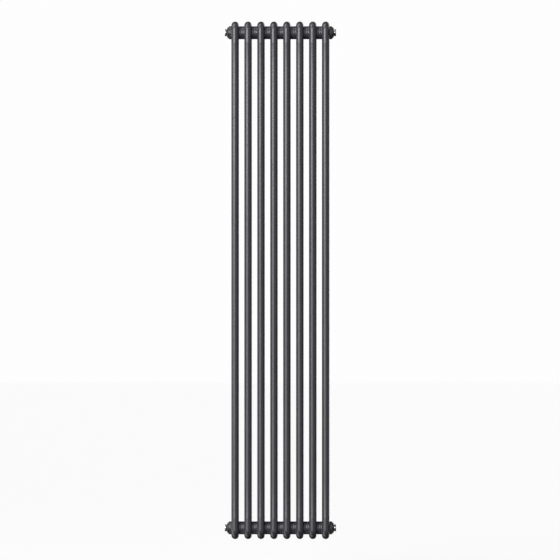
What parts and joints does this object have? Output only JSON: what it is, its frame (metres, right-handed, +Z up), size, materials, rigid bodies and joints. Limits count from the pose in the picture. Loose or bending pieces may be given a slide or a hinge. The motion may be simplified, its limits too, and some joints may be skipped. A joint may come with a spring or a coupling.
{
  "type": "column radiator",
  "caption": "Tall steel column radiator: slim round tubes between rounded heads, reducing bushes with chrome plugs, and an air vent whose bleed screw turns out.",
  "frame": {"origin": "under the middle of the radiator, at the height of its lowest point", "axes": "+Z up, +X along the headers to the right as seen from the room, +Y towards the wall"},
  "size_m": [0.3872, 0.065, 1.8],
  "materials": {
    "paint": "satin anthracite powder coat",
    "chrome": "bright chrome plate",
    "rubber": "matt black rubber",
    "brass": "turned brass",
    "steel": "bare pressed steel"
  },
  "bodies": {
    "radiator": {"section_1_top_head": "paint", "section_1_bottom_head": "paint", "section_1_front_tube": "paint", "section_1_rear_tube": "paint", "section_2_top_head": "paint", "section_2_bottom_head": "paint", "section_2_front_tube": "paint", "section_2_rear_tube": "paint", "section_3_top_head": "paint", "section_3_bottom_head": "paint", "section_3_front_tube": "paint", "section_3_rear_tube": "paint", "section_4_top_head": "paint", "section_4_bottom_head": "paint", "section_4_front_tube": "paint", "section_4_rear_tube": "paint", "section_5_top_head": "paint", "section_5_bottom_head": "paint", "section_5_front_tube": "paint", "section_5_rear_tube": "paint", "section_6_top_head": "paint", "section_6_bottom_head": "paint", "section_6_front_tube": "paint", "section_6_rear_tube": "paint", "section_7_top_head": "paint", "section_7_bottom_head": "paint", "section_7_front_tube": "paint", "section_7_rear_tube": "paint", "section_8_top_head": "paint", "section_8_bottom_head": "paint", "section_8_front_tube": "paint", "section_8_rear_tube": "paint", "top_left_reducing_bush": "paint", "top_left_bush_gasket": "rubber", "top_left_blanking_plug": "chrome", "top_left_plug_o_ring": "rubber", "top_right_reducing_bush": "paint", "top_right_bush_gasket": "rubber", "air_vent_body": "chrome", "air_vent_o_ring": "rubber", "bottom_left_reducing_bush": "paint", "bottom_left_bush_gasket": "rubber", "bottom_left_blanking_plug": "chrome", "bottom_left_plug_o_ring": "rubber", "bottom_right_reducing_bush": "paint", "bottom_right_bush_gasket": "rubber", "bottom_right_blanking_plug": "chrome", "bottom_right_plug_o_ring": "rubber", "flow_baffle": "steel"},
    "bleed_seal": {"bleed_seal": "rubber"},
    "bleed_screw": {"bleed_screw": "brass"}
  },
  "joints": [
    {"name": "bleed_screw_lift", "type": "slide", "parent": "radiator", "child": "bleed_seal", "axis": [1, 0, 0], "range_m": [0, 0.0015]},
    {"name": "bleed_screw_turn", "type": "hinge", "parent": "bleed_seal", "child": "bleed_screw", "pos_m": [0.1777, 0, 1.761], "axis": [1, 0, 0], "range_deg": [0, 540]}
  ],
  "couplings": [
    {"joint": "bleed_screw_turn", "follows": "bleed_screw_lift", "rad_per_m": 6283.2}
  ]
}
